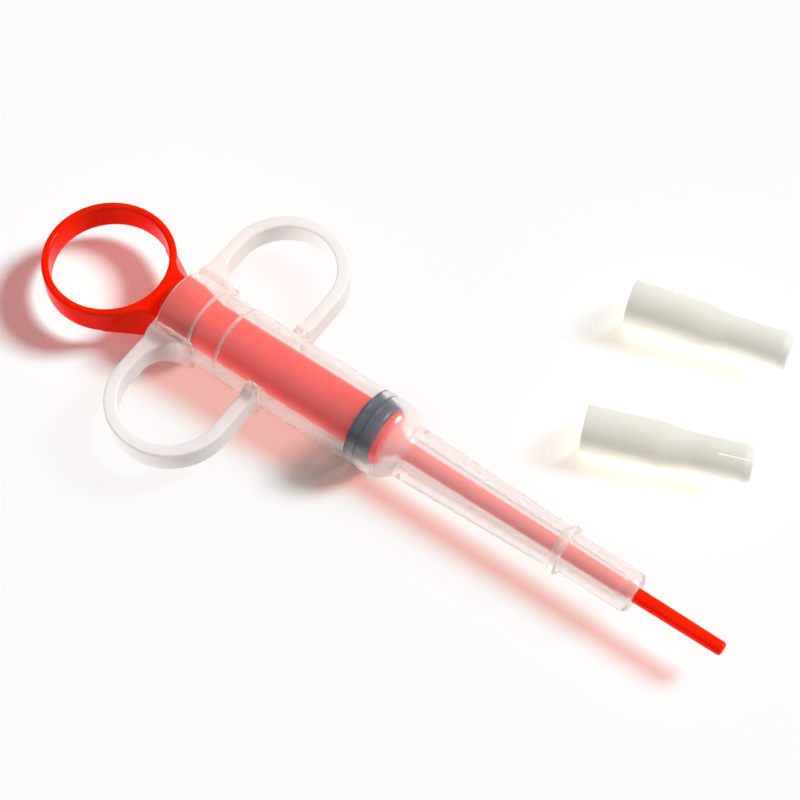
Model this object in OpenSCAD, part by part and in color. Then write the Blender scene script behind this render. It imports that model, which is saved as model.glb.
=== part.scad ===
// Three-ring oral syringe for tablets and liquids: a clear barrel moulded in one with two finger
// loops and a long nozzle, a plunger moulded in one with its thumb ring and push rod, a rubber
// piston seal, and two soft push-on tips lying beside it.
// Frame: origin on the syringe axis at the front face of the nozzle's collar, where a soft tip
// seats. +X runs out of the nozzle, +Y is across the finger loops, +Z is up from the table.

/* [Barrel] */
// Outer radius of the barrel
barrel_r = 9.15; // [8.65:0.1:9.65]
// Wall thickness of the barrel
barrel_wall = 1.2; // [1.0:0.1:1.4]
// Length of the parallel part of the barrel
barrel_len = 59.9; // [56.9:0.5:63.9]
// Length of the cone between the barrel and the nozzle
shoulder_len = 3.8; // [3.3:0.1:4.3]

/* [Nozzle] */
// Outer radius of the nozzle at the barrel's shoulder
nozzle_root_r = 6.35; // [6.05:0.1:6.65]
// Outer radius of the nozzle just behind its collar
nozzle_neck_r = 5.05; // [4.85:0.1:5.25]
// Distance from the barrel's mouth to the front face of the collar
seat_from_mouth = 105.6; // [102:0.1:108]
// Radius over the collar
collar_r = 6.0; // [5.7:0.1:6.3]
// Width of the collar at its foot
collar_w = 2.4; // [2.2:0.1:3.0]
// Radius of the straight land that a soft tip is pushed onto
land_r = 4.7; // [4.5:0.05:4.8]
// Length of the straight land
land_len = 15.3; // [13.3:0.5:16.8]
// Rounding of the nozzle's end
nose_round = 2.0; // [1.5:0.1:2.2]
// Radius of the hole in the nozzle's end
exit_r = 1.8; // [1.75:0.05:1.9]

/* [Finger loops] */
// Outer radius of each loop's round end
loop_r = 14.9; // [14.5:0.1:15.5]
// Width of the loop's band in plan
loop_band = 3.0; // [2.6:0.1:3.2]
// Height of the loop's band
loop_h = 6.2; // [5.8:0.1:7.0]
// Distance of the loop's centre of rounding from the syringe axis
loop_reach = 20.7; // [19.2:0.5:21.7]
// Height of the loop's feet where they meet the barrel
foot_h = 9.6; // [8.4:0.1:10]
// Distance from the axis at which the feet have tapered to the band's height
foot_reach = 12.5; // [11.5:0.5:14]
// Radius of the fillet between the rear foot and the barrel
foot_fillet = 8.0; // [6:0.5:9]
// How far the loops stand behind the barrel's mouth
loop_back = 0.5; // [0.2:0.1:1.2]

/* [Plunger] */
// Radius of the plunger's body
body_r = 5.85; // [5.5:0.05:6.1]
// Radius of the neck that fills the mouth
neck_r = 7.3; // [7.0:0.05:7.5]
// Radius of the disc in front of the seal
head_r = 6.3; // [6.0:0.1:6.6]
// Radius of the push rod at the head
rod_root_r = 2.1; // [2.0:0.05:2.2]
// Radius of the push rod at its free end
rod_tip_r = 1.6; // [1.5:0.05:1.65]
// Distance from the barrel's mouth to the end of the push rod
rod_end = 144.4; // [140:0.1:148]

/* [Thumb ring] */
// Outer radius of the thumb ring
ring_r = 15.55; // [15:0.05:16.2]
// Thickness of the ring's band
ring_band = 1.8; // [1.6:0.1:2.2]
// Height of the ring's band
ring_h = 7.2; // [6.2:0.1:7.8]
// How far the middle of the ring's band lies below the syringe axis
ring_drop = 0.8; // [0:0.1:1.2]
// Distance from the barrel's mouth back to the ring's centre
ring_back = 20.3; // [19.8:0.1:20.6]

/* [Seal] */
// Radius of the seal between its lips
seal_r = 7.3; // [7.0:0.05:7.4]
// Length of the seal
seal_len = 5.8; // [5.2:0.1:6.0]
// Distance from the barrel's mouth to the back of the seal
seal_back = 51.9; // [49:0.1:52]

/* [Soft tips] */
// Radius of the tip's sleeve
tip_sleeve_r = 5.35; // [5.2:0.05:5.5]
// Length of the tip's sleeve
tip_sleeve_len = 17; // [16:0.5:18]
// Length of the taper in front of the sleeve
tip_taper_len = 6; // [5:0.5:7]
// Radius of the tip's front tube
tip_tube_r = 4.45; // [4.3:0.05:4.6]
// Whole length of a tip
tip_len = 38; // [35:0.5:40]
// Radius of the socket that grips the nozzle
tip_socket_r = 4.6; // [4.4:0.05:4.65]
// Depth of the socket
tip_socket_len = 15; // [14:0.5:15]
// Radius of the front hollow that holds a tablet
tip_seat_r = 3.35; // [3.2:0.05:3.5]
// Length of the cuts in the tip's front
tip_cut_len = 8; // [6:0.5:10]
// Width of the cuts
tip_cut_w = 0.3; // [0.2:0.05:0.5]

/* [Hidden] */
$fn = 96;
clear = 0.05;                                   // running clearance between moving fits
bore_r = barrel_r - barrel_wall;
mouth_r = bore_r + 0.2;                         // the bore opens slightly behind its first step
mouth_step = 8.8;
ledge_from_mouth = 16.5;                        // inner bead that keeps the seal in the barrel
ledge_bead = 0.3;
rim_chamfer = 0.35;
shoulder_end = barrel_len + shoulder_len;
bore_end = barrel_len - 1.2;
throat_at = shoulder_end - 0.8;
throat_r = 3.2;                                 // nozzle bore at the shoulder
nozzle_bore_r = 2.3;                            // nozzle bore near the exit
nose_at = seat_from_mouth + land_len;
nozzle_end = nose_at + nose_round;
exit_land = 3.0;                                // length of the narrow exit hole
loop_x = loop_r - loop_back;
neck_len = 2.8;                                 // neck inside the mouth
neck_cone = 5.8;                                // slope from the neck down to the body
neck_behind = 3.4;                              // how far the round neck reaches behind the mouth
neck_slope = 2.0;                               // length over which the neck rounds up from the ring
plate_gap = 0.5;                                // plates between ring and neck stop behind the mouth
plate_stagger = 0.1;                            // keeps the two plates' end faces apart
lower_share = 0.45;                             // height of the lower plate over that of the ring
upper_fillet = 6;                               // fillet between the ring and the neck, in plan
lower_fillet = 20;
upper_side = 6.2;                               // half width of each plate at the neck
lower_side = 7.2;
seal_front = seal_back + seal_len;
head_len = 1.5;
head_front = seal_front + clear + head_len;
cone_r = 4.3;
cone_end = head_front + 3.1;
seat_groove_r = 4.6;
lip_r = bore_r - 0.02;                          // the lips just clear the bore
lip_w = 0.7;
lip_edge = 0.16;                                // width of the lip where it meets the bore
lip_at = [0.7, 3.1];
lip_root = 0.5;                                 // depth of the lips' feet in the seal
edge_round = 0.4;
table_z = -barrel_r;
// Where each soft tip lies: the centre of its wide end and the way that it points
tip_1_place = [81.1, 63.1];
tip_1_turn = 14.6;
tip_2_place = [90.7, 29.3];
tip_2_turn = 21.2;
tip_1_cut_turn = 28;                            // roll of each tip, shown by its cuts
tip_2_cut_turn = 107;
tip_socket_slope = 2.5;                         // slope from the socket down to the front hollow
over = 1;                                       // how far cutters stand out of what they cut

// Turns a profile of (radius, distance along the axis) round the syringe axis
module turned() {
    rotate([0, 90, 0]) rotate_extrude($fn = 96) children();
}

// Moves things measured from the barrel's mouth into the part's frame
module from_mouth() {
    translate([-seat_from_mouth, 0, 0]) children();
}

// Outer form of the barrel, the shoulder, the nozzle, its collar and its rounded nose
module barrel_outside() {
    polygon([
        [0, 0], [barrel_r - rim_chamfer, 0], [barrel_r, rim_chamfer], [barrel_r, barrel_len],
        [nozzle_root_r, shoulder_end], [nozzle_neck_r, seat_from_mouth - collar_w],
        [nozzle_neck_r, seat_from_mouth], [land_r, seat_from_mouth], [land_r, nose_at],
        [land_r - nose_round, nozzle_end], [0, nozzle_end]
    ]);
    translate([land_r - nose_round, nose_at]) circle(nose_round);
    collar_bead = 0.7;
    collar_crest = 1.2;                         // the collar's back slope ends this far behind its face
    translate([collar_r - collar_bead, seat_from_mouth - collar_bead]) circle(collar_bead);
    polygon([
        [nozzle_neck_r - 1, seat_from_mouth - collar_w], [nozzle_neck_r, seat_from_mouth - collar_w],
        [collar_r - collar_bead * 0.3, seat_from_mouth - collar_crest],
        [collar_r - collar_bead, seat_from_mouth], [nozzle_neck_r - 1, seat_from_mouth]
    ]);
}

// Hollow of the barrel and the nozzle
module barrel_bore() {
    polygon([
        [0, -over], [mouth_r + over + rim_chamfer, -over], [mouth_r, rim_chamfer],
        [mouth_r, mouth_step],
        [bore_r, mouth_step + 0.2], [bore_r, bore_end], [throat_r, throat_at],
        [nozzle_bore_r, nozzle_end - exit_land - 0.6], [exit_r, nozzle_end - exit_land],
        [exit_r, nozzle_end + over], [0, nozzle_end + over]
    ]);
}

// Plan of one finger loop, open in the middle, with a fillet behind the rear foot
module loop_plan() {
    hole_r = loop_r - loop_band;
    rear = loop_x - hole_r;
    difference() {
        union() {
            translate([loop_x, loop_reach]) circle(loop_r);
            translate([loop_x - loop_r, 0]) square([2 * loop_r, loop_reach]);
        }
        translate([loop_x, loop_reach]) circle(hole_r);
        translate([rear, -1]) square([2 * hole_r, loop_reach + 1]);
    }
    difference() {
        translate([rear - 0.1, 0]) square([foot_fillet + 0.1, barrel_r + foot_fillet]);
        translate([rear + foot_fillet, barrel_r + foot_fillet]) circle(foot_fillet);
    }
}

// One finger loop with feet that grow taller towards the barrel
module finger_loop() {
    translate([0, 0, -loop_h / 2]) linear_extrude(loop_h) loop_plan();
    intersection() {
        translate([0, 0, -foot_h / 2]) linear_extrude(foot_h) loop_plan();
        translate([-loop_r, 0, 0]) rotate([90, 0, 90]) linear_extrude(4 * loop_r) polygon([
            [0, -foot_h / 2], [barrel_r - 0.6, -foot_h / 2], [foot_reach, -loop_h / 2],
            [foot_reach, loop_h / 2], [barrel_r - 0.6, foot_h / 2], [0, foot_h / 2]
        ]);
    }
}

module barrel() {
    color([0.86, 0.90, 0.89, 0.45]) from_mouth() {
        difference() {
            union() {
                turned() barrel_outside();
                finger_loop();
                mirror([0, 1, 0]) finger_loop();
            }
            turned() barrel_bore();
        }
        turned() translate([bore_r + 0.05, ledge_from_mouth]) circle(ledge_bead, $fn = 24);
    }
}

// Rounded bar that is turned into the thumb ring
module ring_section() {
    corner = 0.6;
    inner = ring_r - ring_band;
    translate([inner, -ring_h / 2 + corner]) square([ring_band, ring_h - 2 * corner]);
    translate([inner + corner, -ring_h / 2]) square([ring_band - 2 * corner, ring_h]);
    for (r = [inner + corner, ring_r - corner], z = [-1, 1])
        translate([r, z * (ring_h / 2 - corner)]) circle(corner, $fn = 32);
}

// Plan of a plate that joins the ring to the neck, whose sides lie at side_r and whose end lies
// gap behind the mouth: a fillet touches the ring and each side
module neck_plan(side_r, fillet, gap) {
    fillet_y = side_r + fillet;
    fillet_x = sqrt(pow(ring_r + fillet, 2) - pow(fillet_y, 2));
    touch = ring_r / (ring_r + fillet);
    plate_end = ring_back - gap;
    difference() {
        translate([fillet_x * touch, -fillet_y * touch])
            square([plate_end - fillet_x * touch, 2 * fillet_y * touch]);
        for (side = [-1, 1]) translate([fillet_x, side * fillet_y]) circle(fillet);
        for (side = [0, 1]) mirror([0, side]) translate([fillet_x, side_r])
            square([ring_back, fillet]);
        circle(ring_r - ring_band / 2);
    }
}

module thumb_ring() {
    lower_h = ring_h * lower_share;
    translate([-ring_back, 0, -ring_drop]) {
        rotate_extrude($fn = 128) ring_section();
        translate([0, 0, -ring_h / 2]) linear_extrude(lower_h)
            neck_plan(lower_side, lower_fillet, plate_gap);
        translate([0, 0, -ring_h / 2 + lower_h / 2]) linear_extrude(ring_h - lower_h / 2)
            neck_plan(upper_side, upper_fillet, plate_gap - plate_stagger);
    }
}

module plunger() {
    neck_root_r = ring_h / 2 - ring_drop;
    rod_flat_r = 0.3;                           // small flat at the rod's end
    rod_round = rod_tip_r - rod_flat_r;
    color([0.90, 0.13, 0.05]) from_mouth() {
        thumb_ring();
        turned() {
            polygon([
                [0, -neck_behind], [neck_root_r, -neck_behind],
                [neck_r, -neck_behind + neck_slope], [neck_r, neck_len],
                [body_r, neck_len + neck_cone], [body_r, seal_back - clear],
                [seat_groove_r, seal_back - clear], [seat_groove_r, seal_front + clear],
                [head_r, seal_front + clear], [head_r, head_front], [cone_r, head_front],
                [rod_root_r, cone_end], [rod_tip_r, rod_end - rod_round],
                [rod_flat_r, rod_end], [0, rod_end]
            ]);
            translate([rod_flat_r, rod_end - rod_round])
                intersection() {
                    circle(rod_round, $fn = 32);
                    square(rod_round);
                }
        }
    }
}

module seal() {
    color([0.10, 0.13, 0.16]) from_mouth() turned() {
        difference() {
            translate([seat_groove_r + clear, seal_back])
                square([seal_r - seat_groove_r - clear, seal_len]);
            for (y = [seal_back, seal_front])
                translate([seal_r, y]) rotate(45) square(edge_round * sqrt(2), center = true);
        }
        for (at = lip_at)
            translate([0, seal_back + at]) polygon([
                [seal_r - lip_root, -lip_w / 2], [lip_r, -lip_edge / 2],
                [lip_r, lip_edge / 2], [seal_r - lip_root, lip_w / 2]
            ]);
    }
}

// Profile of a soft tip from its wide end: sleeve, taper, front tube with a rounded lip
module tip_profile() {
    taper_end = tip_sleeve_len + tip_taper_len;
    lip = (tip_tube_r - tip_seat_r) / 2;
    difference() {
        union() {
            polygon([
                [0, 0], [tip_sleeve_r - 0.4, 0], [tip_sleeve_r, 0.4], [tip_sleeve_r, tip_sleeve_len],
                [tip_tube_r, taper_end], [tip_tube_r, tip_len - lip], [0, tip_len - lip]
            ]);
            translate([tip_tube_r - lip, tip_len - lip]) circle(lip, $fn = 32);
        }
        translate([-0.01, -over]) square([tip_socket_r + 0.01, tip_socket_len + over]);
        polygon([
            [0, tip_socket_len - 0.01], [tip_socket_r, tip_socket_len - 0.01],
            [tip_socket_r, tip_socket_len], [tip_seat_r, tip_socket_len + tip_socket_slope],
            [tip_seat_r, tip_len + over], [0, tip_len + over]
        ]);
    }
}

// A soft tip on the table, its front cut across at cut_turn round its own axis
module soft_tip(place, turn, cut_turn) {
    color([0.90, 0.91, 0.85, 0.8]) from_mouth()
        translate([place[0], place[1], table_z + tip_sleeve_r]) rotate([0, 0, turn])
            difference() {
                turned() tip_profile();
                rotate([cut_turn, 0, 0])
                    translate([tip_len - tip_cut_len, -tip_tube_r - over, -tip_cut_w / 2])
                        cube([tip_cut_len + over, 2 * (tip_tube_r + over), tip_cut_w]);
            }
}

module soft_tip_1() {
    soft_tip(tip_1_place, tip_1_turn, tip_1_cut_turn);
}

module soft_tip_2() {
    soft_tip(tip_2_place, tip_2_turn, tip_2_cut_turn);
}

barrel();
plunger();
seal();
soft_tip_1();
soft_tip_2();
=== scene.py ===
"""Looks of a three-ring oral syringe: a milky moulded barrel with two finger loops and a long nozzle,
a red moulded plunger with its thumb ring and push rod, a dark rubber seal and two soft push-on tips.

Each shape is worked out in millimetres, as distances from the barrel's mouth along the syringe axis (x),
across the finger loops (y) and up from the axis (z). place() turns them into the part's frame in metres.
"""
import math

import bmesh
import bpy
import numpy as np
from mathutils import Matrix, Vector


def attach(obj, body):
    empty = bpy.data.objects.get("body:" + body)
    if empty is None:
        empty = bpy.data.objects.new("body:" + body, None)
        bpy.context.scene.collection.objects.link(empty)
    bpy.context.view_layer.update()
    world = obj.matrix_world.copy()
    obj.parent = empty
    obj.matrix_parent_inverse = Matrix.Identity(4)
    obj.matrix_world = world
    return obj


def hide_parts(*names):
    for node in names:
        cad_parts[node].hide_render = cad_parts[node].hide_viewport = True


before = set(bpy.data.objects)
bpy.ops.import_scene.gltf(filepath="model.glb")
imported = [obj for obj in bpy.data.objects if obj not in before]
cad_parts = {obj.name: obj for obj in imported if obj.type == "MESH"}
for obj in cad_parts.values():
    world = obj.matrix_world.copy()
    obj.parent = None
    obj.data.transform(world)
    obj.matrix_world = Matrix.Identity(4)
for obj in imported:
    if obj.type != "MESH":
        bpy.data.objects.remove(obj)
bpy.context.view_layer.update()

MM = 0.001
SEAT_FROM_MOUTH = 105.6     # the part's origin is at the collar's front face
TABLE_Z = -9.15             # the barrel and the tips lie on the table
TURNS = 192                 # steps round a turned surface
BEADS = (8.8, 16.5)         # where the two fine beads stand inside the bore

# ---------------------------------------------------------------- shapes


def rounded(points, steps=8):
    """Profile with rounded corners. points are (along, across, radius): each corner gives way to an arc
    of that radius that touches both of its sides, as points evenly spaced by angle."""
    made = []
    count = len(points)
    for i, (x, y, radius) in enumerate(points):
        corner = np.array([x, y], float)
        if radius <= 0 or i in (0, count - 1):
            made.append(corner[None])
            continue
        back = np.array(points[i - 1][:2], float) - corner
        ahead = np.array(points[i + 1][:2], float) - corner
        back_len, ahead_len = np.linalg.norm(back), np.linalg.norm(ahead)
        back, ahead = back / back_len, ahead / ahead_len
        half = math.acos(np.clip(back @ ahead, -1, 1)) / 2
        reach = min(radius / math.tan(half), 0.49 * back_len, 0.49 * ahead_len)
        radius = reach * math.tan(half)
        middle = corner + (back + ahead) / np.linalg.norm(back + ahead) * radius / math.sin(half)
        start, end = corner + back * reach - middle, corner + ahead * reach - middle
        turn = math.atan2(start[0] * end[1] - start[1] * end[0], start @ end)
        angle = math.atan2(start[1], start[0]) + np.linspace(0, turn, steps)
        made.append(middle + radius * np.stack([np.cos(angle), np.sin(angle)], 1))
    return np.concatenate(made)


def spaced(profile, longest):
    """The same profile with points added, so that no straight run is longer than longest."""
    run = np.linalg.norm(np.diff(profile, axis=0), axis=1)
    pieces = np.maximum(1, np.ceil(run / longest).astype(int))
    at = np.repeat(np.arange(len(run)), pieces)
    part = (np.arange(len(at)) - np.repeat(np.cumsum(pieces) - pieces, pieces)) / pieces[at]
    inner = profile[at] + part[:, None] * (profile[at + 1] - profile[at])
    return np.concatenate([inner, profile[-1:]])


def turned(profile, turns=TURNS):
    """Rings of a surface turned about the syringe axis: the point (along, radius) at angle a
    is at (along, radius cos a, radius sin a)."""
    a = np.linspace(0, 2 * np.pi, turns, endpoint=False)
    x, r = profile[:, 0, None], profile[:, 1, None]
    return np.stack([x + 0 * a, r * np.cos(a), r * np.sin(a)], -1)


def place(points, origin=(0, 0, 0), turn=0.0):
    """Millimetres from the mouth to metres in the part's frame, after a turn in degrees about
    the upright through the shape's own start and a move to origin."""
    c, s = math.cos(math.radians(turn)), math.sin(math.radians(turn))
    x, y, z = np.moveaxis(np.asarray(points, float), -1, 0)
    moved = np.stack([c * x - s * y, s * x + c * y, z], -1) + np.asarray(origin, float)
    return (moved - [SEAT_FROM_MOUTH, 0, 0]) * MM


def skin(name, rings, looped=False):
    """Closed mesh over a grid of rings: quads join each ring to the next and each point to the next
    round its ring. A looped skin joins its last ring to its first; any other gets a fan over each end.
    If the signed volume comes out negative every face is turned, so that faces point outwards."""
    rows, cols = rings.shape[:2]
    points = rings.reshape(-1, 3)
    grid = np.arange(rows * cols).reshape(rows, cols)
    a = grid if looped else grid[:-1]
    b = np.roll(grid, -1, axis=0) if looped else grid[1:]
    quads = np.stack([a, np.roll(a, -1, axis=1), np.roll(b, -1, axis=1), b], -1).reshape(-1, 4)
    first = np.concatenate([quads[:, [0, 1, 2]], quads[:, [0, 2, 3]]])
    fans = np.zeros((0, 3), int)
    if not looped:
        ends = np.stack([rings[0].mean(0), rings[-1].mean(0)])
        start, end = len(points), len(points) + 1
        points = np.concatenate([points, ends])
        fans = np.concatenate([
            np.stack([np.full(cols, start), np.roll(grid[0], -1), grid[0]], 1),
            np.stack([np.full(cols, end), grid[-1], np.roll(grid[-1], -1)], 1),
        ])
    tris = np.concatenate([first, fans])
    corners = points[tris]
    volume = np.einsum("ij,ij->i", corners[:, 0], np.cross(corners[:, 1], corners[:, 2])).sum()
    if volume < 0:
        quads, fans = quads[:, ::-1], fans[:, ::-1]
    mesh = bpy.data.meshes.new(name)
    mesh.from_pydata(points.tolist(), [], quads.tolist() + fans.tolist())
    mesh.update()
    made = bpy.data.objects.new(name, mesh)
    bpy.context.scene.collection.objects.link(made)
    return made


def bar_section(half_wide, half_high, radius, steps=6):
    """Closed section of a bar with rounded corners, centred on its own middle: for each station, points
    (across, up) that run round four corner arcs; half sizes may be arrays, one for each station."""
    quarter = np.linspace(0, np.pi / 2, steps)
    angle = np.concatenate([quarter + k * np.pi / 2 for k in range(4)])
    side = np.repeat([[1, 1], [-1, 1], [-1, -1], [1, -1]], steps, axis=0)
    wide, high = np.broadcast_arrays(np.atleast_1d(half_wide), np.atleast_1d(half_high))
    across = side[:, 0] * (wide[:, None] - radius) + radius * np.cos(angle)
    up = side[:, 1] * (high[:, None] - radius) + radius * np.sin(angle)
    return across, up


def keep_result(obj):
    """Works out the object's modifiers and keeps the result as its mesh."""
    graph = bpy.context.evaluated_depsgraph_get()
    mesh = bpy.data.meshes.new_from_object(obj.evaluated_get(graph))
    obj.modifiers.clear()
    old, obj.data = obj.data, mesh
    mesh.name = obj.name
    bpy.data.meshes.remove(old)
    return obj


def combine(obj, others, how):
    """Exact solid union or difference of obj with each of the others, which are then removed."""
    for other in others:
        cut = obj.modifiers.new("combine", "BOOLEAN")
        cut.operation, cut.solver, cut.object = how, "EXACT", other
    keep_result(obj)
    for other in others:
        mesh = other.data
        bpy.data.objects.remove(other)
        bpy.data.meshes.remove(mesh)
    return obj


def finish_piece(obj, body, replaced, material, sharp=32):
    """Smooth shading with creases past the sharp angle, then body, CAD node and material."""
    obj.data.shade_smooth()
    obj.data.set_sharp_from_angle(angle=math.radians(sharp))
    obj.data.materials.clear()
    obj.data.materials.append(material)
    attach(obj, body)
    if replaced:
        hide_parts(replaced)
    return obj


# ---------------------------------------------------------------- materials


def linear(code):
    """sRGB hex code to linear colour."""
    parts = [int(code[i:i + 2], 16) / 255 for i in (1, 3, 5)]
    return tuple(c / 12.92 if c <= 0.04045 else ((c + 0.055) / 1.055) ** 2.4 for c in parts) + (1.0,)


def new_material(name):
    """Material of that name with an empty node tree."""
    material = bpy.data.materials.new(name)
    material.use_nodes = True
    material.node_tree.nodes.clear()
    return material, material.node_tree


def add(tree, kind, settings=None, values=None, links=None):
    """Adds one node: its settings by name, its sockets' values and the links into its sockets."""
    made = tree.nodes.new(kind)
    for key, value in (settings or {}).items():
        setattr(made, key, value)
    for key, value in (values or {}).items():
        made.inputs[key].default_value = value
    for key, source in (links or {}).items():
        tree.links.new(source, made.inputs[key])
    return made


def surface(tree, shader, swaps):
    """Ends the material with shader, except that each kind of ray named in swaps meets the shader
    beside it there; where a ray is of two kinds, the later one holds."""
    path = add(tree, "ShaderNodeLightPath")
    for ray, other in swaps:
        mixed = add(tree, "ShaderNodeMixShader", links={0: path.outputs[ray], 1: shader, 2: other})
        shader = mixed.outputs[0]
    add(tree, "ShaderNodeOutputMaterial", links={"Surface": shader})


def clear_polypropylene():
    """Injection-moulded natural polypropylene: nearly clear in the thin wall, a milky veil over what
    lies behind it, cloudy in the thick loops and nozzle, a soft gloss outside, and slow mould
    waviness that wobbles its highlights."""
    material, tree = new_material("natural polypropylene, moulded, translucent")
    where = add(tree, "ShaderNodeTexCoord")
    axis = add(tree, "ShaderNodeSeparateXYZ", links={"Vector": where.outputs["Object"]})
    off_axis = add(tree, "ShaderNodeMath", {"operation": "ABSOLUTE"}, links={0: axis.outputs["Y"]})
    # the loops are 3 mm thick and the nozzle's wall 2.5 mm, against 1.2 mm in the barrel
    loops = add(tree, "ShaderNodeMapRange", {"interpolation_type": "SMOOTHSTEP"},
                {"From Min": 8.3 * MM, "From Max": 10.5 * MM}, {"Value": off_axis.outputs[0]})
    nozzle = add(tree, "ShaderNodeMapRange", {"interpolation_type": "SMOOTHSTEP"},
                 {"From Min": (58 - SEAT_FROM_MOUTH) * MM, "From Max": (68 - SEAT_FROM_MOUTH) * MM,
                  "To Max": 0.22},
                 {"Value": axis.outputs["X"]})
    thick = add(tree, "ShaderNodeMath", {"operation": "MAXIMUM"},
                links={0: loops.outputs[0], 1: nozzle.outputs[0]})
    # more plastic, so more milk, at the two beads in the bore, the inner shoulder and the collar:
    # where the band's middle is, half its width, and how much thicker it is
    bands = ((BEADS[0], 0.35, 0.35), (BEADS[1], 0.35, 0.35), (63.0, 3.5, 0.34), (104.4, 1.7, 0.5))
    for at, half, share in bands:
        off = add(tree, "ShaderNodeMath", {"operation": "SUBTRACT"}, {1: (at - SEAT_FROM_MOUTH) * MM},
                  {0: axis.outputs["X"]})
        away = add(tree, "ShaderNodeMath", {"operation": "ABSOLUTE"}, links={0: off.outputs[0]})
        band = add(tree, "ShaderNodeMapRange", {"interpolation_type": "SMOOTHSTEP"},
                   {"From Min": half * 0.5 * MM, "From Max": half * MM, "To Min": share, "To Max": 0.0},
                   {"Value": away.outputs[0]})
        thick = add(tree, "ShaderNodeMath", {"operation": "MAXIMUM"},
                    links={0: thick.outputs[0], 1: band.outputs[0]})
    # flow of the melt: soft streaks some 6 mm wide and 20 mm long
    stretch = add(tree, "ShaderNodeMapping", values={"Scale": (0.3, 1.0, 1.0)},
                  links={"Vector": where.outputs["Object"]})
    flow = add(tree, "ShaderNodeTexNoise", values={"Scale": 1 / (6 * MM), "Detail": 2.0, "Roughness": 0.5},
               links={"Vector": stretch.outputs["Vector"]})
    tint = add(tree, "ShaderNodeValToRGB", links={"Fac": flow.outputs["Fac"]})
    for end, at, code in zip(tint.color_ramp.elements, (0.3, 0.7), ("#FCFCFC", "#FEFDFB")):
        end.position, end.color = at, linear(code)
    # spark-eroded mould face: 0.25 mm grain, far finer in life
    grain = add(tree, "ShaderNodeTexNoise", values={"Scale": 1 / (0.25 * MM), "Detail": 1.0},
                links={"Vector": where.outputs["Object"]})
    haze = add(tree, "ShaderNodeMapRange", values={"To Min": 0.1, "To Max": 0.32},
               links={"Value": thick.outputs[0]})
    wave = add(tree, "ShaderNodeBump", values={"Strength": 0.015, "Distance": 0.3 * MM},
               links={"Height": flow.outputs["Fac"]})
    fine = add(tree, "ShaderNodeBump", values={"Strength": 0.015, "Distance": 0.02 * MM},
               links={"Height": grain.outputs["Fac"], "Normal": wave.outputs["Normal"]})
    body = add(tree, "ShaderNodeBsdfPrincipled",
               values={"IOR": 1.49, "Transmission Weight": 1.0},
               links={"Base Color": tint.outputs["Color"], "Roughness": haze.outputs["Result"],
                      "Normal": fine.outputs["Normal"]})
    veil = add(tree, "ShaderNodeBsdfTranslucent", values={"Color": linear("#FAF8F6")})
    dust = add(tree, "ShaderNodeBsdfDiffuse", values={"Color": linear("#F7F6F5")})
    milk = add(tree, "ShaderNodeMixShader", values={0: 0.45},
               links={1: veil.outputs[0], 2: dust.outputs[0]})
    cloudy = add(tree, "ShaderNodeMapRange", values={"To Min": 0.11, "To Max": 0.8},
                 links={"Value": thick.outputs[0]})
    plastic = add(tree, "ShaderNodeMixShader",
                  links={0: cloudy.outputs[0], 1: body.outputs[0], 2: milk.outputs[0]})
    # lamps and scattered light pass straight through, which keeps what is inside evenly lit
    passing = add(tree, "ShaderNodeBsdfTransparent", values={"Color": linear("#FCFBFA")})
    surface(tree, plastic.outputs[0],
            (("Is Diffuse Ray", passing.outputs[0]), ("Is Shadow Ray", passing.outputs[0])))
    return material


def red_polypropylene(name, glow_share, stain):
    """Injection-moulded red polypropylene: saturated orange red that glows a little where light comes
    through it, glossy, with faint machining rings of the mould round the thumb ring. glow_share is how
    much of it glows, and stain is the colour that light takes at each of its surfaces."""
    material, tree = new_material(name)
    where = add(tree, "ShaderNodeTexCoord")
    # tool marks of the mould: fine level lines, 0.5 mm apart
    level = add(tree, "ShaderNodeMapping", values={"Scale": (0.02, 0.02, 1.0)},
                links={"Vector": where.outputs["Object"]})
    marks = add(tree, "ShaderNodeTexNoise", values={"Scale": 1 / (0.5 * MM), "Detail": 2.0},
                links={"Vector": level.outputs["Vector"]})
    cloud = add(tree, "ShaderNodeTexNoise", values={"Scale": 1 / (9 * MM), "Detail": 2.0},
                links={"Vector": where.outputs["Object"]})
    tint = add(tree, "ShaderNodeValToRGB", links={"Fac": cloud.outputs["Fac"]})
    for end, at, code in zip(tint.color_ramp.elements, (0.3, 0.7), ("#FA2200", "#FF3000")):
        end.position, end.color = at, linear(code)
    gloss = add(tree, "ShaderNodeMapRange", values={"To Min": 0.14, "To Max": 0.24},
                links={"Value": cloud.outputs["Fac"]})
    lines = add(tree, "ShaderNodeBump", values={"Strength": 0.12, "Distance": 0.08 * MM},
                links={"Height": marks.outputs["Fac"]})
    body = add(tree, "ShaderNodeBsdfPrincipled",
               values={"IOR": 1.49, "Specular IOR Level": 0.13, "Subsurface Weight": 0.1,
                       "Subsurface Scale": 1.0 * MM, "Subsurface Radius": (2.5, 0.3, 0.1)},
               links={"Base Color": tint.outputs["Color"], "Roughness": gloss.outputs["Result"],
                      "Normal": lines.outputs["Normal"]})
    glow = add(tree, "ShaderNodeBsdfTranslucent", values={"Color": linear("#FF2400")})
    plastic = add(tree, "ShaderNodeMixShader", values={0: glow_share},
                  links={1: body.outputs[0], 2: glow.outputs[0]})
    # things round about catch a paler red; strong light comes through and stains the shadow
    paler = add(tree, "ShaderNodeBsdfDiffuse", values={"Color": linear("#F8A898")})
    passing = add(tree, "ShaderNodeBsdfTransparent", values={"Color": linear(stain)})
    surface(tree, plastic.outputs[0],
            (("Is Diffuse Ray", paler.outputs[0]), ("Is Shadow Ray", passing.outputs[0])))
    return material


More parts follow.
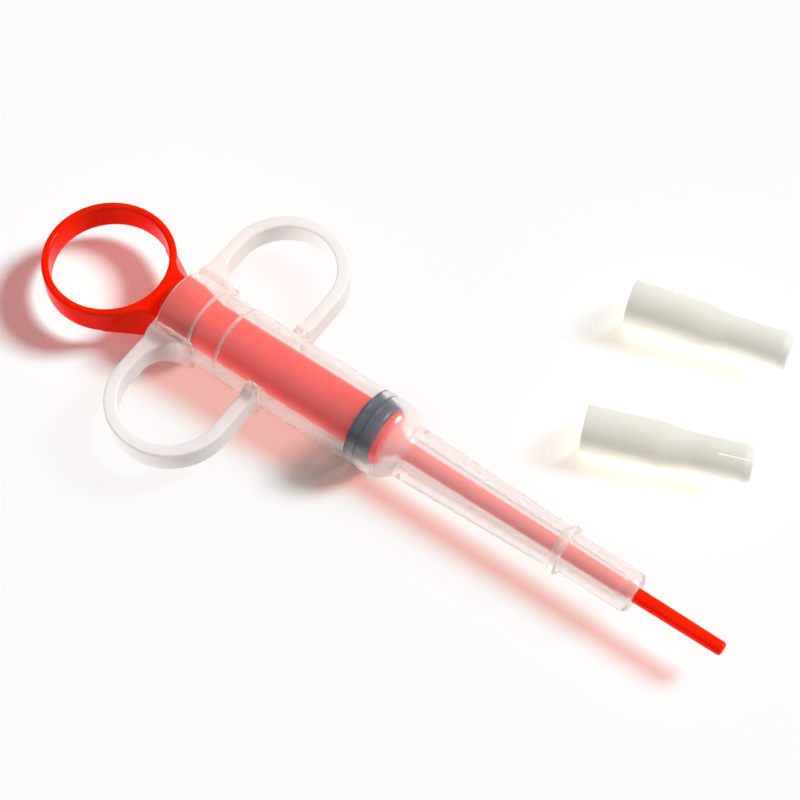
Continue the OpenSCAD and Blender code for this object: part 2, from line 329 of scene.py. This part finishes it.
def seal_rubber():
    """Moulded synthetic rubber: slate blue black, satin, with a powdery bloom."""
    material, tree = new_material("synthetic rubber, moulded, satin")
    where = add(tree, "ShaderNodeTexCoord")
    bloom = add(tree, "ShaderNodeTexNoise", values={"Scale": 1 / (1.5 * MM), "Detail": 4.0},
                links={"Vector": where.outputs["Object"]})
    tint = add(tree, "ShaderNodeValToRGB", links={"Fac": bloom.outputs["Fac"]})
    for end, at, code in zip(tint.color_ramp.elements, (0.3, 0.75), ("#08162E", "#152A4A")):
        end.position, end.color = at, linear(code)
    gloss = add(tree, "ShaderNodeMapRange", values={"To Min": 0.26, "To Max": 0.4},
                links={"Value": bloom.outputs["Fac"]})
    grain = add(tree, "ShaderNodeBump", values={"Strength": 0.1, "Distance": 0.03 * MM},
                links={"Height": bloom.outputs["Fac"]})
    body = add(tree, "ShaderNodeBsdfPrincipled", values={"IOR": 1.52},
               links={"Base Color": tint.outputs["Color"], "Roughness": gloss.outputs["Result"],
                      "Normal": grain.outputs["Normal"]})
    # the milky wall round the seal scatters light into its shadow
    passing = add(tree, "ShaderNodeBsdfTransparent", values={"Color": linear("#CFC6C0")})
    surface(tree, body.outputs[0], (("Is Shadow Ray", passing.outputs[0]),))
    return material


def soft_silicone():
    """Moulded silicone rubber: milky, slightly green cream, soft sheen; light passes into it and
    comes out again as a warm glow beneath."""
    material, tree = new_material("silicone rubber, moulded, milky")
    where = add(tree, "ShaderNodeTexCoord")
    cloud = add(tree, "ShaderNodeTexNoise", values={"Scale": 1 / (7 * MM), "Detail": 3.0},
                links={"Vector": where.outputs["Object"]})
    tint = add(tree, "ShaderNodeValToRGB", links={"Fac": cloud.outputs["Fac"]})
    for end, at, code in zip(tint.color_ramp.elements, (0.3, 0.7), ("#D8D9D6", "#DDDCD6")):
        end.position, end.color = at, linear(code)
    gloss = add(tree, "ShaderNodeMapRange", values={"To Min": 0.35, "To Max": 0.5},
                links={"Value": cloud.outputs["Fac"]})
    skin_waves = add(tree, "ShaderNodeBump", values={"Strength": 0.1, "Distance": 0.1 * MM},
                     links={"Height": cloud.outputs["Fac"]})
    body = add(tree, "ShaderNodeBsdfPrincipled",
               values={"IOR": 1.41, "Subsurface Weight": 0.35, "Subsurface Scale": 2.0 * MM,
                       "Subsurface Radius": (1.0, 1.0, 0.95)},
               links={"Base Color": tint.outputs["Color"], "Roughness": gloss.outputs["Result"],
                      "Normal": skin_waves.outputs["Normal"]})
    through = add(tree, "ShaderNodeBsdfTranslucent", values={"Color": linear("#F3F3F0")})
    milk = add(tree, "ShaderNodeMixShader", values={0: 0.58},
               links={1: body.outputs[0], 2: through.outputs[0]})
    # most of the light comes through, so the shadow is pale and faintly warm
    passing = add(tree, "ShaderNodeBsdfTransparent", values={"Color": linear("#F5F2EC")})
    surface(tree, milk.outputs[0], (("Is Shadow Ray", passing.outputs[0]),))
    return material


def table_card():
    """Smooth white card: the plain pale floor."""
    material, tree = new_material("white card, matt")
    where = add(tree, "ShaderNodeTexCoord")
    fibre = add(tree, "ShaderNodeTexNoise", values={"Scale": 1 / (2 * MM), "Detail": 2.0},
                links={"Vector": where.outputs["Object"]})
    gloss = add(tree, "ShaderNodeMapRange", values={"To Min": 0.7, "To Max": 0.8},
                links={"Value": fibre.outputs["Fac"]})
    body = add(tree, "ShaderNodeBsdfPrincipled",
               values={"Base Color": linear("#F6F6F6"), "Specular IOR Level": 0.2},
               links={"Roughness": gloss.outputs["Result"]})
    add(tree, "ShaderNodeOutputMaterial", links={"Surface": body.outputs[0]})
    return material


# ---------------------------------------------------------------- barrel

BARREL_R, BORE_R, MOUTH_R = 9.15, 7.95, 8.15
SHOULDER_AT, SHOULDER_END = 59.9, 63.7
NOZZLE_END = 122.9
NOZZLE_ROOT_R, NOZZLE_NECK_R, COLLAR_R, LAND_R, EXIT_R = 6.35, 5.06, 5.98, 4.7, 1.8

LOOP_BACK, LOOP_R, LOOP_BAND, LOOP_H, LOOP_REACH = 0.5, 14.9, 3.0, 6.2, 20.7
FOOT_H, FOOT_REACH, FOOT_FILLET = 9.6, 12.5, 8.0


def barrel_wall():
    """Closed profile of the wall, outside from mouth to nose and back along the bore, turned round."""
    profile = rounded([
        (0, (BARREL_R + MOUTH_R) / 2, 0),
        (0, BARREL_R, 0.4),
        (SHOULDER_AT, BARREL_R, 3.0),
        (SHOULDER_END, NOZZLE_ROOT_R, 2.2),
        (103.1, NOZZLE_NECK_R, 0.5),
        (104.4, COLLAR_R, 0.6),
        (SEAT_FROM_MOUTH, 5.8, 0.45),
        (SEAT_FROM_MOUTH, LAND_R, 0.2),
        (NOZZLE_END, LAND_R, 2.0),
        (NOZZLE_END, EXIT_R, 0.3),
        (119.9, EXIT_R, 0.2),
        (119.3, 2.3, 0.2),
        (64.4, 3.2, 3.0),
        (59.6, BORE_R, 3.0),
        (BEADS[1] + 0.4, BORE_R, 0.15),
        (BEADS[1], BORE_R - 0.28, 0.12),
        (BEADS[1] - 0.4, BORE_R, 0.15),
        (BEADS[0] + 0.4, BORE_R, 0.15),
        (BEADS[0], BORE_R - 0.2, 0.12),
        (BEADS[0] - 0.4, MOUTH_R, 0.15),
        (0, MOUTH_R, 0.25),
        (0, (BARREL_R + MOUTH_R) / 2 - 0.01, 0),
    ])
    return skin("barrel_wall", place(turned(spaced(profile, 3.0))), looped=True)


def finger_loop(side):
    """Rounded bar carried along a U. At each station a straight line crosses the band from its outer
    to its inner edge, and the bar's section stands on that line: half its length wide, and as high as
    the band, growing near the barrel. The inner edge of the rear foot is a quarter circle, the round
    end is half a ring, and the end sections lie on a cylinder inside the barrel's wall."""
    hole_r = LOOP_R - LOOP_BAND
    middle_x = LOOP_R - LOOP_BACK
    rear, front = middle_x - hole_r, middle_x + hole_r
    inside_wall = 8.5
    sweep = np.linspace(np.pi / 2, 0, 24)
    foot_y = BARREL_R + FOOT_FILLET - FOOT_FILLET * np.sin(sweep)
    foot_x = rear + FOOT_FILLET - FOOT_FILLET * np.cos(sweep)
    turn = np.linspace(np.pi, 0, 64)
    leg = np.linspace(LOOP_REACH, BARREL_R, 20)[1:]
    foot_steps, leg_steps = len(sweep), len(leg) + 1
    outer_x = np.concatenate([np.full(1 + foot_steps, -LOOP_BACK), middle_x + LOOP_R * np.cos(turn),
                              np.full(leg_steps, middle_x + LOOP_R)])
    inner_x = np.concatenate([[rear + FOOT_FILLET], foot_x, middle_x + hole_r * np.cos(turn),
                              np.full(leg_steps, front)])
    outer_y, inner_y = [
        np.concatenate([[inside_wall], foot_y, LOOP_REACH + radius * np.sin(turn), leg, [inside_wall]])
        for radius in (LOOP_R, hole_r)
    ]
    outer, inner = np.stack([outer_x, outer_y], 1), np.stack([inner_x, inner_y], 1)
    line = inner - outer
    half_wide = np.linalg.norm(line, axis=1) / 2
    reach = (outer_y + inner_y) / 2
    rise = np.clip((FOOT_REACH - reach) / (FOOT_REACH - BARREL_R), 0, 1)
    half_high = (LOOP_H + (FOOT_H - LOOP_H) * rise * rise * (3 - 2 * rise)) / 2
    across, up = bar_section(half_wide, half_high, 0.55)
    base = (outer + inner)[:, None] / 2 + across[..., None] * (line / (2 * half_wide[:, None]))[:, None]
    x, y = base[..., 0], base[..., 1]
    y[[0, -1]] = np.sqrt(inside_wall ** 2 - up[[0, -1]] ** 2)
    return skin("finger_loop", place(np.stack([x, side * y, up], -1)))


barrel = combine(barrel_wall(), [finger_loop(1), finger_loop(-1)], "UNION")
barrel.name = "barrel_shell"
finish_piece(barrel, "barrel", "barrel", clear_polypropylene())

# ---------------------------------------------------------------- plunger

RING_BACK, RING_R, RING_BAND = 20.3, 15.55, 1.8
RING_LOW, RING_HIGH = -4.4, 2.8
NECK_R, BODY_R = 7.3, 5.85
NECK_LEN, NECK_CONE = 2.8, 5.8
SEAL_BACK, SEAL_LEN = 51.9, 5.8
GROOVE_R, CLEAR = 4.6, 0.05  # the seal's groove, and the room that the seal has in it
ROD_END = 144.4


def thumb_ring():
    """Rounded bar turned about an upright axis through the ring's middle."""
    across, up = bar_section(RING_BAND / 2, (RING_HIGH - RING_LOW) / 2, 0.45)
    radius = RING_R - RING_BAND / 2 + across[0]
    height = (RING_HIGH + RING_LOW) / 2 + up[0]
    a = np.linspace(0, 2 * np.pi, 160, endpoint=False)[:, None]
    points = np.stack([-RING_BACK + radius * np.cos(a), radius * np.sin(a), height + 0 * a], -1)
    return skin("thumb_ring", place(points), looped=True)


def neck_web():
    """Web between the ring and the neck, lofted straight up from a broad lower outline to a narrower
    upper one. Each outline runs along an arc inside the ring's band, leaves the ring and draws in to
    the neck; it is the arc's points, then the side's points, mirrored to the other side."""
    middle_r = RING_R - RING_BAND / 2

    def outline(points, angle):
        a = np.radians(np.linspace(-angle, angle, 40))
        arc = np.stack([-RING_BACK + middle_r * np.cos(a), middle_r * np.sin(a)], 1)
        side = spaced(rounded([(*arc[-1], 0)] + points), 0.4)
        return arc, side
    low_arc, low_side = outline(
        [(-12.6, 13.8, 8.0), (-4.3, 9.1, 6.0), (-1.2, 7.2, 2.0), (-0.6, 7.0, 0)], 70)
    high_arc, high_side = outline(
        [(-7.2, 8.2, 3.0), (-5.2, 6.5, 3.0), (-2.5, 6.0, 2.0), (-0.6, 5.9, 0)], 36)

    def closed(arc, side):
        steps = np.linspace(0, 1, 60)
        length = np.concatenate([[0], np.cumsum(np.linalg.norm(np.diff(side, axis=0), axis=1))])
        even = np.stack([np.interp(steps * length[-1], length, side[:, k]) for k in (0, 1)], 1)
        other = even[::-1] * [1, -1]
        return np.concatenate([arc, even[1:], other[:-1]])
    low, high = closed(low_arc, low_side), closed(high_arc, high_side)
    share = np.linspace(0, 1, 12)[:, None, None]
    plan = low + (high - low) * share
    height = RING_LOW + 0.1 + (RING_HIGH - RING_LOW - 0.2) * share[..., 0] + 0 * plan[..., 0]
    return skin("neck_web", place(np.concatenate([plan, height[..., None]], -1)))


def neck():
    """Neck that fills the mouth and slopes back to the ring, turned round."""
    cone_end = NECK_LEN + NECK_CONE
    profile = rounded([
        (-3.4, 0, 0), (-3.4, 3.0, 0.6), (-1.4, NECK_R, 1.2), (NECK_LEN, NECK_R, 0.4),
        (cone_end, BODY_R + 0.05, 0.3), (cone_end + 0.6, BODY_R + 0.02, 0), (cone_end + 0.6, 0, 0),
    ])
    return skin("neck", place(turned(spaced(profile, 1.0)[1:-1])))


def joined(obj, others):
    """One mesh of several closed skins: their points and faces one after another."""
    gathered = bmesh.new()
    gathered.from_mesh(obj.data)
    for other in others:
        mesh = other.data
        gathered.from_mesh(mesh)
        bpy.data.objects.remove(other)
        bpy.data.meshes.remove(mesh)
    gathered.to_mesh(obj.data)
    gathered.free()
    return obj


def grip():
    """Thumb ring, web and neck as one moulding: laid together on a 0.3 mm grid of cells and
    smoothed, so that a small fillet runs wherever they meet."""
    ring = joined(thumb_ring(), [neck_web(), neck()])
    cells = ring.modifiers.new("cells", "REMESH")
    cells.mode, cells.voxel_size = "VOXEL", 0.3 * MM
    fair = ring.modifiers.new("fair", "SMOOTH")
    fair.factor, fair.iterations = 0.5, 10
    keep_result(ring)
    ring.name = "thumb_ring_and_neck"
    return ring


def plunger_body():
    """Body from inside the neck to the seal's groove, the disc in front of the seal, its cone and
    the push rod, turned round."""
    groove, disc = SEAL_BACK - CLEAR, SEAL_BACK + SEAL_LEN + CLEAR
    disc_end = disc + 1.5
    profile = rounded([
        (NECK_LEN, 0, 0), (NECK_LEN, BODY_R, 0), (NECK_LEN + NECK_CONE, BODY_R, 0),
        (groove, BODY_R, 0.4), (groove, GROOVE_R, 0), (disc, GROOVE_R, 0),
        (disc, 6.3, 0.3), (disc_end, 6.3, 0.4), (disc_end, 4.3, 0.6),
        (disc_end + 3.05, 2.1, 2.0), (ROD_END, 1.6, 1.25), (ROD_END, 0, 0),
    ])
    return skin("push_rod", place(turned(spaced(profile, 3.0)[1:-1], 128)))


# the body lies in the milky barrel, so its shadow is far paler than the open ring's
finish_piece(grip(), "plunger", "plunger",
             red_polypropylene("red polypropylene, moulded, glossy", 0.38, "#CC6040"), sharp=60)
finish_piece(plunger_body(), "plunger", None,
             red_polypropylene("red polypropylene, moulded, inside the barrel", 0.32, "#F8CEC4"))

# ---------------------------------------------------------------- seal


def piston_seal():
    """Closed profile of the seal, with two sharp lips that press on the bore, turned round."""
    lip = BORE_R + 0.4
    inner, outer = GROOVE_R + CLEAR, 7.3

    def lip_points(at):
        return [(at - 0.32, outer, 0.1), (at - 0.1, lip, 0.03),
                (at + 0.1, lip, 0.03), (at + 0.32, outer, 0.1)]
    back, front, middle_r = SEAL_BACK, SEAL_BACK + SEAL_LEN, (inner + outer) / 2
    profile = rounded([
        (back, middle_r, 0), (back, outer, 0.35), *lip_points(back + 0.7), *lip_points(back + 3.1),
        (front, outer, 0.45), (front, inner, 0.1), (back, inner, 0.1), (back, middle_r - 0.01, 0),
    ])
    return skin("piston_seal", place(turned(profile)), looped=True)


finish_piece(piston_seal(), "seal", "seal", seal_rubber())

# ---------------------------------------------------------------- soft tips

TIP_LEN, TIP_CUT_LEN, TIP_CUT_W = 38.0, 8.0, 0.3
SLEEVE_R, TUBE_R, SOCKET_R, HOLLOW_R = 5.35, 4.45, 4.6, 3.35
# name, the middle of the wide end, the way that it points, and the roll that its cut shows
TIPS = (("soft_tip_1", (81.1, 63.1), 14.6, 28), ("soft_tip_2", (90.7, 29.3), 21.2, 107))


def soft_tip(name, at, turn, cut_turn):
    """Closed profile of a tip, socket, taper and front tube with a rounded lip, turned round, and a
    thin straight cut across its front end, turned about the tip's own axis."""
    profile = rounded([
        (0, 5.0, 0), (0, SLEEVE_R, 0.3), (17.0, SLEEVE_R, 6.0), (23.0, TUBE_R, 6.0),
        (TIP_LEN - 1.9, TUBE_R, 1.5), (TIP_LEN - 0.45, TUBE_R - 0.4, 0.5),
        (TIP_LEN, HOLLOW_R + 0.2, 0.25), (TIP_LEN - 0.35, HOLLOW_R, 0.3),
        (17.5, HOLLOW_R, 1.0), (15.0, SOCKET_R, 0.8), (0, SOCKET_R, 0.25), (0, 4.99, 0),
    ])
    origin = (*at, TABLE_Z + SLEEVE_R)
    tip = skin(name, place(turned(spaced(profile, 2.0), 128), origin, turn), looped=True)
    along = np.array([TIP_LEN - TIP_CUT_LEN, TIP_LEN + 1.0])
    across, up = bar_section(6.0, TIP_CUT_W / 2, TIP_CUT_W * 0.49, 3)
    c, s = math.cos(math.radians(cut_turn)), math.sin(math.radians(cut_turn))
    y, z = across[0] * c - up[0] * s, across[0] * s + up[0] * c
    blade = np.stack(np.broadcast_arrays(along[:, None], y, z), -1)
    return combine(tip, [skin("blade", place(blade, origin, turn))], "DIFFERENCE")


silicone = soft_silicone()
for name, at, turn, cut_turn in TIPS:
    finish_piece(soft_tip(name + "_moulding", at, turn, cut_turn), name, name, silicone)

# ---------------------------------------------------------------- table, light and camera

FLOOR_REACH = 3.0            # metres from the middle to each side
AIM = Vector((-0.05084, 0.00954, 0.0))      # the point that the camera and the lamps look at
CAMERA_AWAY = 0.49344        # metres
TILT, HEADING = math.radians(59.83), math.radians(35.73)    # down from level, and turned from +Y

table = bpy.data.meshes.new("table")
corners = ((-1, -1), (1, -1), (1, 1), (-1, 1))
table.from_pydata([(x * FLOOR_REACH, y * FLOOR_REACH, TABLE_Z * MM) for x, y in corners],
                  [], [(0, 1, 2, 3)])
floor = bpy.data.objects.new("table", table)
bpy.context.scene.collection.objects.link(floor)
table.materials.append(table_card())


def soft_sun(name, azimuth, elevation, spread, power):
    """Broad even light from far off; azimuth is from +X towards +Y, elevation is up from level and
    spread is its width in the sky, all in degrees."""
    lamp = bpy.data.lights.new(name, "SUN")
    lamp.angle, lamp.energy = math.radians(spread), power
    a, e = math.radians(azimuth), math.radians(elevation)
    way = Vector((math.cos(a) * math.cos(e), math.sin(a) * math.cos(e), math.sin(e)))
    made = bpy.data.objects.new(name, lamp)
    made.location = AIM + way * 0.5
    made.rotation_euler = way.to_track_quat("Z", "Y").to_euler()
    bpy.context.scene.collection.objects.link(made)


soft_sun("key", 52, 40, 16, 3.95)
soft_sun("fill", 265, 60, 70, 0.3)

world = bpy.data.worlds.new("white room")
world.use_nodes = True
sky = world.node_tree.nodes["Background"]
sky.inputs["Color"].default_value = linear("#FFFFFF")
sky.inputs["Strength"].default_value = 0.16
scene = bpy.context.scene
scene.world = world
scene.view_settings.view_transform = "Standard"
scene.cycles.caustics_refractive = False
scene.cycles.caustics_reflective = False

lens = bpy.data.cameras.new("camera")
lens.lens, lens.sensor_width, lens.clip_start = 100.36, 36, 0.01
camera = bpy.data.objects.new("camera", lens)
scene.collection.objects.link(camera)
level = math.cos(TILT)
look = Vector((-math.sin(HEADING) * level, math.cos(HEADING) * level, -math.sin(TILT)))
camera.location = AIM - look * CAMERA_AWAY
camera.rotation_euler = look.to_track_quat("-Z", "Y").to_euler()
scene.camera = camera
